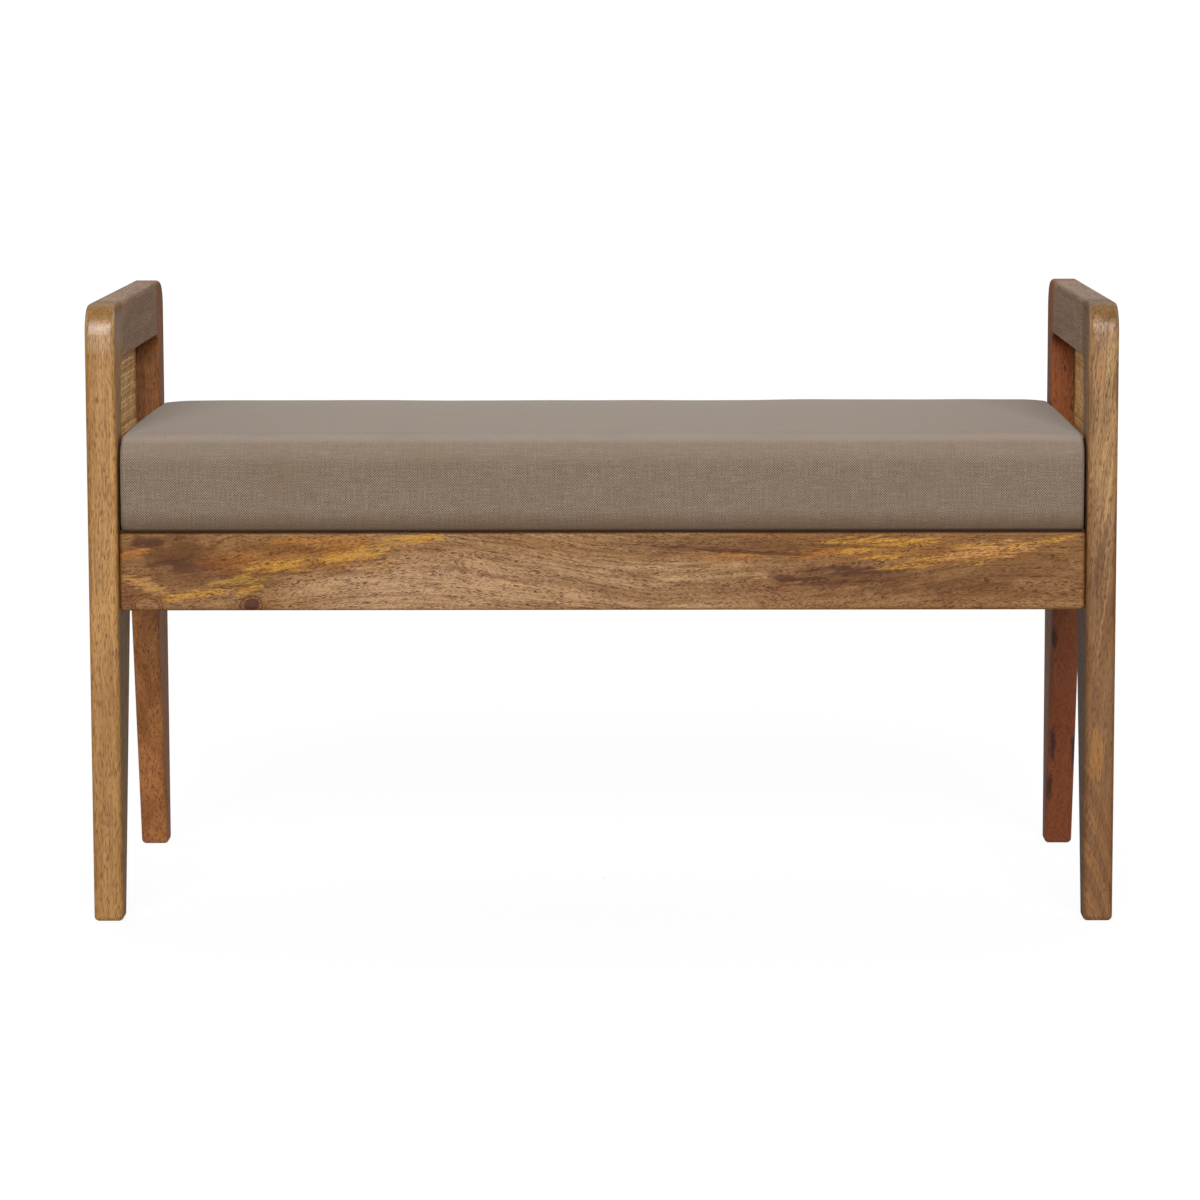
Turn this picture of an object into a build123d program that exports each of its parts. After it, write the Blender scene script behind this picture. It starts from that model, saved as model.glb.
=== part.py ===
from build123d import *

import os
from math import floor

# A hardwood bench with cane-filled arms and an upholstered linen seat pad.
#
# Two side frames, each of two tapered legs, an arm rail and a side rail, carry a seat box
# that is bolted between them. A plywood board padded with foam and covered in linen lies
# on the box and is screwed to it from below. Cane webbing fills each side frame above the
# seat, held in a rabbet on the outer face by mitred beads.
#
# Millimetres. X runs from left to right, Y from front to back and Z up from the floor.
# The origin is on the floor, under the middle of the bench.

# Overall sizes
bench_width = 1000.0
bench_depth = 450.0
bench_height = 606.0

# Side frames: legs, arm rails and side rails, all of one thickness
frame_thickness = 29.0
post_depth = 53.0  # front to back, beside the cane
foot_depth = 28.0
shoulder_depth = 105.0  # where the tapered part of a leg meets the side rail
arm_rail_height = 55.0
arm_corner_radius = 29.0
opening_corner_radius = 16.0
edge_round = 5.0
opening_edge_round = 1.5

# Dowels of the side frames
frame_dowel_radius = 4.0
frame_dowel_length = 50.0
arm_dowel_spacing = 26.0
side_dowel_spacing = 40.0
dowel_end_room = 1.0
dowel_chamfer = 0.8

# Cane webbing and the beads over its edge
cane_thickness = 1.6
cane_pitch = 13.3
cane_hole_across = 7.0
bead_width = 9.0
bead_thickness = 3.2
brad_radius = 0.6
brad_length = 14.0
brad_spacing = 75.0
brad_end_inset = 22.0

# Seat box
seat_rail_top = 383.5  # above the floor
seat_rail_height = 77.0
seat_rail_thickness = 20.0
seat_rail_setback = 12.0  # behind the face of the legs
seat_rail_round = 4.0
box_dowel_radius = 4.0
box_dowel_length = 35.0
box_dowel_depth_in_rail = 12.0
box_dowel_spacing = 48.0
corner_block_side = 60.0
support_thickness = 22.0  # corner blocks and battens alike
batten_width = 60.0
batten_offset = 157.0  # from the middle of the bench
batten_dowel_spacing = 32.0

# Bolts that hold the side frames to the seat box
bolt_radius = 3.0
bolt_length = 35.0
bolt_head_radius = 5.0
bolt_head_height = 6.0
bolt_key_across = 5.0
bolt_key_depth = 3.0
bolt_inset = 68.0  # from the outer face of a leg
bolt_height_shares = (0.27, 0.73)  # of the height from the rails' underside to the corner blocks
washer_radius = 7.0
washer_thickness = 1.6
insert_radius = 4.75
insert_length = 13.0
insert_hole_depth = 16.0

# Seat pad
pad_end_gap = 1.5  # to each side frame
pad_setback = 9.0  # behind the face of the legs
pad_edge_height = 94.5
pad_crown = 6.0
pad_side_bulge = 3.0
pad_roll_radius = 28.0  # along the front and rear top edges
pad_end_radius = 12.0
pad_foot_radius = 5.0
cover_thickness = 1.0
cover_hem_width = 40.0  # turned under the board
board_thickness = 12.0
filling_clearance = 0.2
dust_cover_thickness = 0.6
dust_cover_gap = 1.0  # to the rails round it

# Screws up into the board, and staples through the dust cover and the hem
screw_radius = 2.0
screw_length = 32.0
screw_head_radius = 4.0
screw_head_height = 2.4
screw_slot_width = 1.0
screw_slot_depth = 1.2
batten_screw_spacing = 230.0
staple_crown = 10.0
staple_wire = 1.0
staple_leg = 8.0
staple_inset = 6.0  # from the inner face of the rails
staple_spacing = 60.0

# Clearances and the overrun of cuts
hole_clearance = 0.05
cut_overrun = 5.0

# Places that several pieces share
half_width = bench_width / 2
half_depth = bench_depth / 2
inner_face = half_width - frame_thickness
frame_middle = inner_face + frame_thickness / 2
rail_underside = seat_rail_top - seat_rail_height
rail_middle = seat_rail_top - seat_rail_height / 2
arm_middle = bench_height - arm_rail_height / 2
opening_width = bench_depth - 2 * post_depth
opening_height = bench_height - arm_rail_height - seat_rail_top
opening_middle = seat_rail_top + opening_height / 2
arm_joint = opening_width / 2 - opening_corner_radius
side_joint = half_depth - shoulder_depth
rabbet_width = opening_width + 2 * bead_width
rabbet_height = opening_height + 2 * bead_width
rabbet_depth = cane_thickness + bead_thickness
rabbet_floor = half_width - rabbet_depth
rail_front_face = half_depth - seat_rail_setback
box_half_depth = rail_front_face - seat_rail_thickness
box_half_width = inner_face - seat_rail_thickness
end_rail_middle = inner_face - seat_rail_thickness / 2
support_top = seat_rail_top - dust_cover_thickness
support_base = support_top - support_thickness
board_bottom = seat_rail_top + cover_thickness
block_screw_inset = corner_block_side / 3  # where the plan of a corner block balances

on_base = (Align.CENTER, Align.CENTER, Align.MIN)
under_top = (Align.CENTER, Align.CENTER, Align.MAX)


def on_side(outline, local_x):
    """A sketch whose axes are Y and Z, laid on the upright plane at that X."""
    return Plane.YZ.offset(local_x) * outline


def along_width(place, shape):
    """A shape made along Z, turned to point along X at a place."""
    return Pos(*place) * Rot(0, 90, 0) * shape


def along_depth(place, shape):
    """A shape made along Z, laid along Y at a place."""
    return Pos(*place) * Rot(90, 0, 0) * shape


def to_left(shape):
    return mirror(shape, about=Plane.YZ)


def on_both_sides(shapes):
    """Right-hand pieces and their left-hand copies as one group."""
    return Compound(children=[*shapes, *(to_left(shape) for shape in shapes)])


def spread(length, spacing):
    """Even places along a length, centred on nought, about one spacing apart."""
    steps = max(1, round(length / spacing))
    return [length * (step / steps - 1 / 2) for step in range(steps + 1)]


# Side frames

def frame_dowel_places():
    """Middles of the right-hand frame's dowels, on the joints between legs and rails."""
    joints = ((arm_joint, arm_middle, arm_dowel_spacing), (side_joint, rail_middle, side_dowel_spacing))
    return [
        (frame_middle, end * joint, height + level * spacing / 2)
        for joint, height, spacing in joints
        for end in (-1, 1)
        for level in (-1, 1)
    ]


def frame_dowels():
    rod = Cylinder(frame_dowel_radius, frame_dowel_length)
    dowel = chamfer(rod.edges().filter_by(GeomType.CIRCLE), dowel_chamfer)
    return [along_depth(place, dowel) for place in frame_dowel_places()]


def bolt_lines():
    """Y and Z of each bolt's axis in the right-hand leg."""
    free_height = support_base - rail_underside
    return [
        (end * (half_depth - bolt_inset), rail_underside + share * free_height)
        for end in (-1, 1)
        for share in bolt_height_shares
    ]


def frame_outline():
    """Side view of a frame: upright outer faces, legs that taper inside, rounded top corners."""
    outline = Pos(0, bench_height / 2) * Rectangle(bench_depth, bench_height)
    foot_inside = half_depth - foot_depth
    outline -= Polygon(
        (-foot_inside, 0),
        (-side_joint, rail_underside),
        (side_joint, rail_underside),
        (foot_inside, 0),
        align=None,
    )
    return fillet(outline.vertices().group_by(Axis.Y)[-1], arm_corner_radius)


def frame_blank():
    """The right-hand frame in one piece: eased edges, the opening and the cane's rabbet."""
    blank = extrude(on_side(frame_outline(), inner_face), frame_thickness)
    sides = blank.faces().sort_by(Axis.X)
    foot_edges = blank.edges().filter_by(Axis.X).group_by(Axis.Z)[0]
    blank = fillet(sides[0].edges() + sides[-1].edges() + foot_edges, edge_round)

    window = Pos(0, opening_middle) * RectangleRounded(opening_width, opening_height, opening_corner_radius)
    blank -= extrude(on_side(window, inner_face - cut_overrun), frame_thickness + 2 * cut_overrun)
    seat_side = blank.faces().filter_by(Axis.X).sort_by(Axis.X)[0]
    blank = fillet(seat_side.inner_wires()[0].edges(), opening_edge_round)

    rabbet = Pos(0, opening_middle) * Rectangle(rabbet_width, rabbet_height)
    return blank - extrude(on_side(rabbet, rabbet_floor), rabbet_depth + cut_overrun)


def side_frame():
    """Right-hand front leg, rear leg, arm rail and side rail, with the holes they need."""
    dowel_hole = Cylinder(frame_dowel_radius + hole_clearance, frame_dowel_length + 2 * dowel_end_room)
    insert_hole = Cylinder(insert_radius + hole_clearance, insert_hole_depth, align=on_base)
    holes = [along_depth(place, dowel_hole) for place in frame_dowel_places()]
    holes += [along_width((inner_face, y, z), insert_hole) for y, z in bolt_lines()]
    blank = frame_blank() - holes - brads()

    zone_thickness = frame_thickness + 2 * cut_overrun
    arm_zone = Box(zone_thickness, 2 * arm_joint, bench_height, align=on_base)
    arm_zone = Pos(frame_middle, 0, opening_middle) * arm_zone
    side_zone = Box(zone_thickness, 2 * side_joint, bench_height, align=under_top)
    side_zone = Pos(frame_middle, 0, opening_middle) * side_zone
    legs = (blank - [arm_zone, side_zone]).solids().sort_by(Axis.Y)
    return legs[0], legs[-1], (blank & arm_zone).solid(), (blank & side_zone).solid()


# Cane webbing, beads and brads

def brad_places():
    """Y and Z of each brad from the middle of the opening: along the middle of every bead."""
    line_y = (opening_width + bead_width) / 2
    line_z = (opening_height + bead_width) / 2
    along_y = spread(opening_width - 2 * brad_end_inset, brad_spacing)
    along_z = spread(opening_height - 2 * brad_end_inset, brad_spacing)
    return [(y, end * line_z) for end in (-1, 1) for y in along_y] + [
        (end * line_y, z) for end in (-1, 1) for z in along_z
    ]


def brads():
    """Headless nails driven in flush with the right-hand frame's outer face."""
    nail = Cylinder(brad_radius, brad_length, align=under_top)
    return [along_width((half_width, y, opening_middle + z), nail) for y, z in brad_places()]


def cane_panel():
    """A flat sheet with a gap at each mesh of the weave and a hole for each brad."""
    columns = floor(opening_width / cane_pitch)
    rows = floor(opening_height / cane_pitch)
    mesh = Circle(cane_hole_across / 2)
    gaps = [place * mesh for place in GridLocations(cane_pitch, cane_pitch, columns, rows)]
    gaps += [Pos(y, z) * Circle(brad_radius) for y, z in brad_places()]
    sheet = Rectangle(rabbet_width, rabbet_height).face()
    net = Face(sheet.outer_wire(), [gap.face().outer_wire() for gap in gaps])
    return extrude(on_side(Pos(0, opening_middle) * net, rabbet_floor), cane_thickness, dir=(1, 0, 0))


def beads():
    """Top, bottom, front and rear strips with mitred ends, flush with the frame."""
    inner_y, inner_z = opening_width / 2, opening_height / 2
    outer_y, outer_z = rabbet_width / 2, rabbet_height / 2
    upper = Polygon(
        (-outer_y, outer_z), (-inner_y, inner_z), (inner_y, inner_z), (outer_y, outer_z), align=None
    )
    front = Polygon(
        (-outer_y, -outer_z), (-inner_y, -inner_z), (-inner_y, inner_z), (-outer_y, outer_z), align=None
    )
    outlines = (upper, mirror(upper, about=Plane.XZ), front, mirror(front, about=Plane.YZ))
    plane_x = half_width - bead_thickness
    return [
        extrude(on_side(Pos(0, opening_middle) * outline, plane_x), bead_thickness, dir=(1, 0, 0)) - brads()
        for outline in outlines
    ]


# Seat box

def box_dowel_places():
    """Middles of all the box's dowels: at its corners and at both ends of each batten."""
    reach = box_half_depth + box_dowel_depth_in_rail - box_dowel_length / 2
    support_middle = support_top - support_thickness / 2
    places = []
    for side in (-1, 1):
        for end in (-1, 1):
            for shift in (-1 / 2, 1 / 2):
                places.append((side * end_rail_middle, end * reach, rail_middle + shift * box_dowel_spacing))
                batten_x = side * batten_offset + shift * batten_dowel_spacing
                places.append((batten_x, end * reach, support_middle))
    return places


def box_dowels():
    rod = Cylinder(box_dowel_radius, box_dowel_length)
    dowel = chamfer(rod.edges().filter_by(GeomType.CIRCLE), dowel_chamfer)
    return [along_depth(place, dowel) for place in box_dowel_places()]


def box_dowel_holes():
    hole = Cylinder(box_dowel_radius + hole_clearance, box_dowel_length + 2 * dowel_end_room)
    return [along_depth(place, hole) for place in box_dowel_places()]


def rear_rail():
    """The rail that runs from one side frame to the other behind the seat box."""
    rail = Box(2 * inner_face, seat_rail_thickness, seat_rail_height)
    rail = fillet(rail.edges(), seat_rail_round)
    return Pos(0, rail_front_face - seat_rail_thickness / 2, rail_middle) * rail - box_dowel_holes()


def end_rail():
    """The right-hand end of the box, between the front and rear rails."""
    rail = Box(seat_rail_thickness, 2 * box_half_depth, seat_rail_height)
    bolt_hole = Cylinder(bolt_radius + hole_clearance, seat_rail_thickness + 2 * cut_overrun)
    bolt_holes = [along_width((end_rail_middle, y, z), bolt_hole) for y, z in bolt_lines()]
    return Pos(end_rail_middle, 0, rail_middle) * rail - box_dowel_holes() - bolt_holes


def corner_block():
    """The block in the right-hand rear corner, three-sided in plan."""
    plan = Polygon(
        (box_half_width, box_half_depth),
        (box_half_width - corner_block_side, box_half_depth),
        (box_half_width, box_half_depth - corner_block_side),
        align=None,
    )
    return extrude(Pos(0, 0, support_base) * plan, support_thickness, dir=(0, 0, 1))


def batten():
    """The right-hand board across the box, under the middle of the pad."""
    board = Box(batten_width, 2 * box_half_depth, support_thickness, align=under_top)
    return Pos(batten_offset, 0, support_top) * board - box_dowel_holes()


# Bolts, washers and threaded inserts

def bolts():
    """Socket-head bolts from inside the box into the right-hand legs."""
    shank = Cylinder(bolt_radius, bolt_length, align=on_base)
    head = Cylinder(bolt_head_radius, bolt_head_height, align=under_top)
    key = extrude(RegularPolygon(bolt_key_across / 2, 6, major_radius=False), bolt_key_depth)
    bolt = shank + head - Pos(0, 0, -bolt_head_height) * key
    head_x = box_half_width - washer_thickness
    return [along_width((head_x, y, z), bolt) for y, z in bolt_lines()]


def washers():
    hole = Cylinder(bolt_radius + hole_clearance, washer_thickness + 2 * cut_overrun)
    washer = Cylinder(washer_radius, washer_thickness) - hole
    middle_x = box_half_width - washer_thickness / 2
    return [along_width((middle_x, y, z), washer) for y, z in bolt_lines()]


def inserts():
    """Threaded sleeves screwed into the right-hand legs, flush with their inner faces."""
    hole = Cylinder(bolt_radius + hole_clearance, insert_length + 2 * cut_overrun)
    sleeve = Cylinder(insert_radius, insert_length) - hole
    middle_x = inner_face + insert_length / 2
    return [along_width((middle_x, y, z), sleeve) for y, z in bolt_lines()]


# Seat pad

def pad_profile(inset, base):
    """Side view of the pad: crowned top, rolled top edges and slightly full front and back."""
    face_y = half_depth - pad_setback - inset
    corner_y = face_y - pad_side_bulge
    corner_z = seat_rail_top + pad_edge_height - inset
    waist_z = (base + corner_z) / 2
    profile = make_face(
        Line((-corner_y, base), (corner_y, base))
        + ThreePointArc((corner_y, base), (face_y, waist_z), (corner_y, corner_z))
        + ThreePointArc((corner_y, corner_z), (0, corner_z + pad_crown), (-corner_y, corner_z))
        + ThreePointArc((-corner_y, corner_z), (-face_y, waist_z), (-corner_y, base))
    )
    return fillet(profile.vertices().group_by(Axis.Y)[-1], pad_roll_radius - inset)


def pad_form(inset, base):
    """The pad's outer form taken in by an inset, down to a level base."""
    half_length = inner_face - pad_end_gap - inset
    form = extrude(on_side(pad_profile(inset, base), -half_length), 2 * half_length, dir=(1, 0, 0))
    ends = form.faces().filter_by(GeomType.PLANE).filter_by(Axis.X)
    base_edges = form.faces().sort_by(Axis.Z)[0].edges()
    end_edges = [edge for edge in ends.edges() if edge not in base_edges]
    form = fillet(end_edges, pad_end_radius - inset)
    return fillet(form.faces().sort_by(Axis.Z)[0].edges(), pad_foot_radius - inset)


def pad_filling():
    """What the linen holds: the foam and the board together."""
    return pad_form(cover_thickness + filling_clearance, board_bottom)


def pad_layer(bottom, height):
    """A block wider than the pad, to cut a level layer from it."""
    return Pos(0, 0, bottom) * Box(bench_width, bench_depth, height, align=on_base)


def pad_cover():
    """Linen round the foam and the board, with a hem turned under."""
    shell = pad_form(0, seat_rail_top) - pad_form(cover_thickness, board_bottom)
    window_width = 2 * (inner_face - pad_end_gap - cover_hem_width)
    window_depth = 2 * (half_depth - pad_setback - cover_hem_width)
    window = Box(window_width, window_depth, cover_thickness + 2 * cut_overrun)
    return shell - Pos(0, 0, seat_rail_top) * window


def pad_board():
    return pad_filling() & pad_layer(board_bottom, board_thickness)


def pad_foam():
    return pad_filling() & pad_layer(board_bottom + board_thickness, bench_height)


def dust_cover():
    """Thin black cloth that closes the pad's underside, clear of the rails."""
    width = 2 * (box_half_width - dust_cover_gap)
    depth = 2 * (box_half_depth - dust_cover_gap)
    return Pos(0, 0, support_top) * Box(width, depth, dust_cover_thickness, align=on_base)


def pad_screws():
    """Right-hand countersunk screws, up through the corner blocks and the batten."""
    shank = Cylinder(screw_radius, screw_length, align=on_base)
    head = Cone(screw_head_radius, screw_radius, screw_head_height, align=on_base)
    slot = Box(2 * screw_head_radius, screw_slot_width, 2 * screw_slot_depth)
    screw = shank + head - slot - Rot(0, 0, 90) * slot
    block_x = box_half_width - block_screw_inset
    block_y = box_half_depth - block_screw_inset
    places = ((block_x, block_y), (batten_offset, batten_screw_spacing / 2))
    return [Pos(x, end * y, support_base) * screw for x, y in places for end in (-1, 1)]


def staple():
    """A staple pointing up, with its crown along X under the level of nought."""
    crown = Box(staple_crown, staple_wire, staple_wire, align=under_top)
    leg = Box(staple_wire, staple_wire, staple_leg, align=on_base)
    reach = (staple_crown - staple_wire) / 2
    return crown + Pos(-reach, 0, 0) * leg + Pos(reach, 0, 0) * leg


def staples():
    """Staples round the dust cover, in the bays between the blocks and the battens."""
    line_x = box_half_width - staple_inset
    line_y = box_half_depth - staple_inset
    batten_edge = batten_offset + batten_width / 2
    block_edge = box_half_width - corner_block_side
    outer_bay_middle = (batten_edge + block_edge) / 2
    outer_bay = spread(block_edge - batten_edge - 2 * staple_crown, staple_spacing)
    middle_bay = spread(2 * batten_offset - batten_width - 2 * staple_crown, staple_spacing)
    end_bay = spread(2 * (box_half_depth - corner_block_side - staple_crown), staple_spacing)

    along_front = middle_bay + [side * outer_bay_middle + x for side in (-1, 1) for x in outer_bay]
    clip = staple()
    placed = [Pos(x, end * line_y, support_top) * clip for x in along_front for end in (-1, 1)]
    turned = Rot(0, 0, 90) * clip
    return placed + [Pos(side * line_x, y, support_top) * turned for y in end_bay for side in (-1, 1)]


# Nodes

def side_nodes(screws):
    """Each right-hand piece by name, for both sides."""
    right = dict(zip(("front_leg", "rear_leg", "arm_rail", "side_rail"), side_frame()))
    right.update(zip(("top_bead", "bottom_bead", "front_bead", "rear_bead"), beads()))
    right["cane_panel"] = cane_panel()
    right["bead_brads"] = Compound(children=brads())
    right["frame_dowels"] = Compound(children=frame_dowels())
    right["end_rail"] = end_rail()
    right["seat_batten"] = batten() - screws
    right["rear_corner_block"] = corner_block() - screws
    right["front_corner_block"] = mirror(right["rear_corner_block"], about=Plane.XZ)
    nodes = {"right_" + name: shape for name, shape in right.items()}
    nodes.update({"left_" + name: to_left(shape) for name, shape in right.items()})
    return nodes


def bench_nodes():
    """Every piece or group of like pieces by its node's name."""
    screws = on_both_sides(pad_screws())
    clips = staples()
    nodes = side_nodes(screws)
    nodes["rear_seat_rail"] = rear_rail()
    nodes["front_seat_rail"] = mirror(nodes["rear_seat_rail"], about=Plane.XZ)
    nodes["seat_box_dowels"] = Compound(children=box_dowels())
    nodes["frame_bolts"] = on_both_sides(bolts())
    nodes["frame_washers"] = on_both_sides(washers())
    nodes["frame_inserts"] = on_both_sides(inserts())
    nodes["pad_cover"] = pad_cover() - screws - clips
    nodes["pad_foam"] = pad_foam()
    nodes["pad_board"] = pad_board() - screws - clips
    nodes["pad_dust_cover"] = dust_cover() - screws - clips
    nodes["pad_screws"] = screws
    nodes["pad_staples"] = Compound(children=clips)
    return nodes


os.makedirs("parts", exist_ok=True)
for node_name, node_shape in bench_nodes().items():
    export_step(node_shape, f"parts/{node_name}.step")
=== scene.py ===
import math

import bmesh
import bpy
import numpy as np
from mathutils import Euler, Matrix, Vector


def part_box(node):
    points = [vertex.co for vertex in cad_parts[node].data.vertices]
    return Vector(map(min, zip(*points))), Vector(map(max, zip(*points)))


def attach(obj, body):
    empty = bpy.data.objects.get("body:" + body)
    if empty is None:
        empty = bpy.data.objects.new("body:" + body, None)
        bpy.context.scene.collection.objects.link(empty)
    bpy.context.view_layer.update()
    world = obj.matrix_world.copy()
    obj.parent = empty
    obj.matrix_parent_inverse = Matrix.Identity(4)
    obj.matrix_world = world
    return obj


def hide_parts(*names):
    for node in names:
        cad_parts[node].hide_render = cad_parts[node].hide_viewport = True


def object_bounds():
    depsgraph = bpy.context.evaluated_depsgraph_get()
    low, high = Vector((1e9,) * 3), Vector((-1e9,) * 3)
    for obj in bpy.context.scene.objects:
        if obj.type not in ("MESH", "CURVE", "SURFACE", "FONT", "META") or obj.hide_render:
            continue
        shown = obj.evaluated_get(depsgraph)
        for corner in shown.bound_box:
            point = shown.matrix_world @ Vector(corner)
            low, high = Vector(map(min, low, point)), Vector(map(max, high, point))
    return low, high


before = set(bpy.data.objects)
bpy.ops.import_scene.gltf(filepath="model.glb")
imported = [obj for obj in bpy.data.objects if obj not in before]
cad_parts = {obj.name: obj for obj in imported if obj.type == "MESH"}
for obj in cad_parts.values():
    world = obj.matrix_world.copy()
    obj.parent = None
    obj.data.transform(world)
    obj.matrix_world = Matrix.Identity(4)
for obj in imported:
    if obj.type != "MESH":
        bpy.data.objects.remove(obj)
cad_box = [list(corner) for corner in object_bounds()]
bench_low, bench_high = (Vector(corner) for corner in cad_box)


# Camera. A long lens about four metres in front of the bench and above its arms, tilted
# down a little and a touch out of level, as the photograph's edges give it.
photo_width = 1200
focal_pixels = 4469
camera_to_legs = 4.312
camera_height = 0.874
camera_right = 0.040
tilt_down = math.radians(7.343)
turn_left = math.radians(0.556)
roll = math.radians(-0.142)

camera_data = bpy.data.cameras.new("camera")
camera_data.sensor_width = 36.0
camera_data.lens = camera_data.sensor_width * focal_pixels / photo_width
camera_data.clip_end = 100.0
camera = bpy.data.objects.new("camera", camera_data)
camera.location = (camera_right, bench_low.y - camera_to_legs, camera_height)
level_view = Euler((math.pi / 2 - tilt_down, 0, turn_left)).to_matrix()
camera.rotation_euler = (level_view @ Matrix.Rotation(roll, 3, "Z")).to_euler()
bpy.context.scene.collection.objects.link(camera)
bpy.context.scene.camera = camera


# Studio. A white floor that curves up to a wall all round, with a wide soft light in front
# and above, weaker ones behind and at both sides, and the glow of the floor from below,
# which is cut off low down behind the bench.
floor_radius = 11.0
sweep_radius = 2.5
wall_height = 6.0
front_light = 1.16  # light on a surface that faces the camera, as a share of full white
front_haze = 0.014  # what the gloss adds to that surface
floor_glow = 0.44
room_glow = 0.08


class Signal:
    """A socket of a node tree. Python's operators on it add Math nodes."""

    def __init__(self, nodes, socket):
        self.nodes, self.socket = nodes, socket

    def maths(self, operation, *others):
        values = dict(enumerate((self, *others)))
        return self.nodes.node("ShaderNodeMath", {"operation": operation}, values)

    def wave(self, length, shape="SINE"):
        """A sine or cosine of that length along it."""
        return (self * (2 * math.pi / length)).maths(shape)

    def __add__(self, other):
        return self.maths("ADD", other)

    def __sub__(self, other):
        return self.maths("SUBTRACT", other)

    def __rsub__(self, other):
        return self.maths("MULTIPLY_ADD", -1.0, other)

    def __mul__(self, other):
        return self.maths("MULTIPLY", other)

    def __truediv__(self, other):
        return self.maths("DIVIDE", other)

    def __pow__(self, other):
        return self.maths("POWER", other)

    __radd__ = __add__
    __rmul__ = __mul__


class Nodes:
    """Nodes of one tree, each made by a single call."""

    def __init__(self, tree):
        self.tree = tree

    def node(self, kind, settings=None, values=None, output=0):
        """Adds any node: its settings first, then the values or links of its sockets."""
        node = self.tree.nodes.new(kind)
        for name, setting in (settings or {}).items():
            setattr(node, name, setting)
        for key, value in (values or {}).items():
            self.feed(node.inputs[key], value)
        return Signal(self, node.outputs[output])

    def feed(self, socket, value):
        if isinstance(value, Signal):
            self.tree.links.new(value.socket, socket)
        else:
            socket.default_value = value

    def split(self, vector):
        return [self.node("ShaderNodeSeparateXYZ", values={0: vector}, output=k) for k in range(3)]

    def noise(self, x, y, z, detail=2.0):
        """Smooth noise from nought to one about a half, with lumps about one unit across."""
        point = self.node("ShaderNodeCombineXYZ", values={0: x, 1: y, 2: z})
        values = {"Vector": point, "Scale": 1.0, "Detail": detail}
        return self.node("ShaderNodeTexNoise", values=values)

    def rise(self, value, low, high):
        """Nought below low, one above high, with a smooth step between them."""
        values = {0: value, 1: low, 2: high, 3: 0.0, 4: 1.0}
        return self.node("ShaderNodeMapRange", {"interpolation_type": "SMOOTHSTEP"}, values)

    def blend(self, share, first, second):
        """The first colour, and as the share grows the second."""
        values = {0: share, 6: first, 7: second}
        return self.node("ShaderNodeMix", {"data_type": "RGBA"}, values, output=2)

    def bump(self, height, depth, strength):
        values = {"Height": height, "Distance": depth, "Strength": strength}
        return self.node("ShaderNodeBump", values=values)


class Finish(Nodes):
    """A material in the making, on the Principled shader."""

    def __init__(self, name):
        self.material = bpy.data.materials.new(name)
        self.material.use_nodes = True
        super().__init__(self.material.node_tree)
        self.shader = self.tree.nodes["Principled BSDF"]

    def shade(self, **values):
        """Sets the shader's own sockets, named with underscores for spaces."""
        for name, value in values.items():
            self.feed(self.shader.inputs[name.replace("_", " ")], value)

    def place(self):
        """X, Y and Z of the shared frame."""
        return self.split(self.node("ShaderNodeTexCoord", output="Object"))

    def lumps(self, *per_metre, detail=2.0):
        """Noise with so many lumps to the metre along X, Y and Z of the shared frame."""
        places = [place * count for place, count in zip(self.place(), per_metre)]
        return self.noise(*places, detail=detail)


def shown(red, green, blue):
    """The colour of a surface that a screen shows as these 0 to 255 values in full light."""
    screen = np.array([red, green, blue]) / 255
    linear = np.where(screen > 0.04045, ((screen + 0.055) / 1.055) ** 2.4, screen / 12.92)
    return (*linear.tolist(), 1.0)


def lit(red, green, blue):
    """The same for a surface that faces the front light, less the haze of its gloss."""
    colour = np.array(shown(red, green, blue)[:3])
    return (*(np.maximum(colour - front_haze, 0.004) / front_light).tolist(), 1.0)


def grid_quads(rows, columns, close_rows=False, close_columns=False):
    """The quads between neighbouring points of a grid, by the points' numbers.

    Closing joins the last row or column to the first. Faces turn from rows to columns."""
    corner = np.arange(rows * columns).reshape(rows, columns)
    if close_rows:
        corner = np.vstack([corner, corner[:1]])
    if close_columns:
        corner = np.hstack([corner, corner[:, :1]])
    quads = np.stack([corner[:-1, :-1], corner[1:, :-1], corner[1:, 1:], corner[:-1, 1:]], axis=-1)
    return quads.reshape(-1, 4)


def grid_mesh(name, points, close_rows=False, close_columns=False):
    """A mesh from a rows by columns by 3 array of points."""
    quads = grid_quads(*points.shape[:2], close_rows, close_columns)
    return plain_mesh(name, points.reshape(-1, 3), quads)


def listed(items, name, each=1, kind=float):
    """One attribute of every item as an array, with so many numbers to an item."""
    values = np.zeros(len(items) * each, dtype=kind)
    items.foreach_get(name, values)
    return values.reshape(-1, each).squeeze()


def plain_mesh(name, points, faces, uv=None):
    """A smooth-shaded object from points and faces, with one UV pair for each point."""
    mesh = bpy.data.meshes.new(name)
    mesh.from_pydata(np.asarray(points).tolist(), [], np.asarray(faces).tolist())
    mesh.polygons.foreach_set("use_smooth", np.ones(len(mesh.polygons), dtype=bool))
    if uv is not None:
        corners = listed(mesh.loops, "vertex_index", kind=np.int32)
        mesh.uv_layers.new(name="weave").data.foreach_set("uv", uv.reshape(-1, 2)[corners].ravel())
    piece = bpy.data.objects.new(name, mesh)
    bpy.context.scene.collection.objects.link(piece)
    return piece


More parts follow.
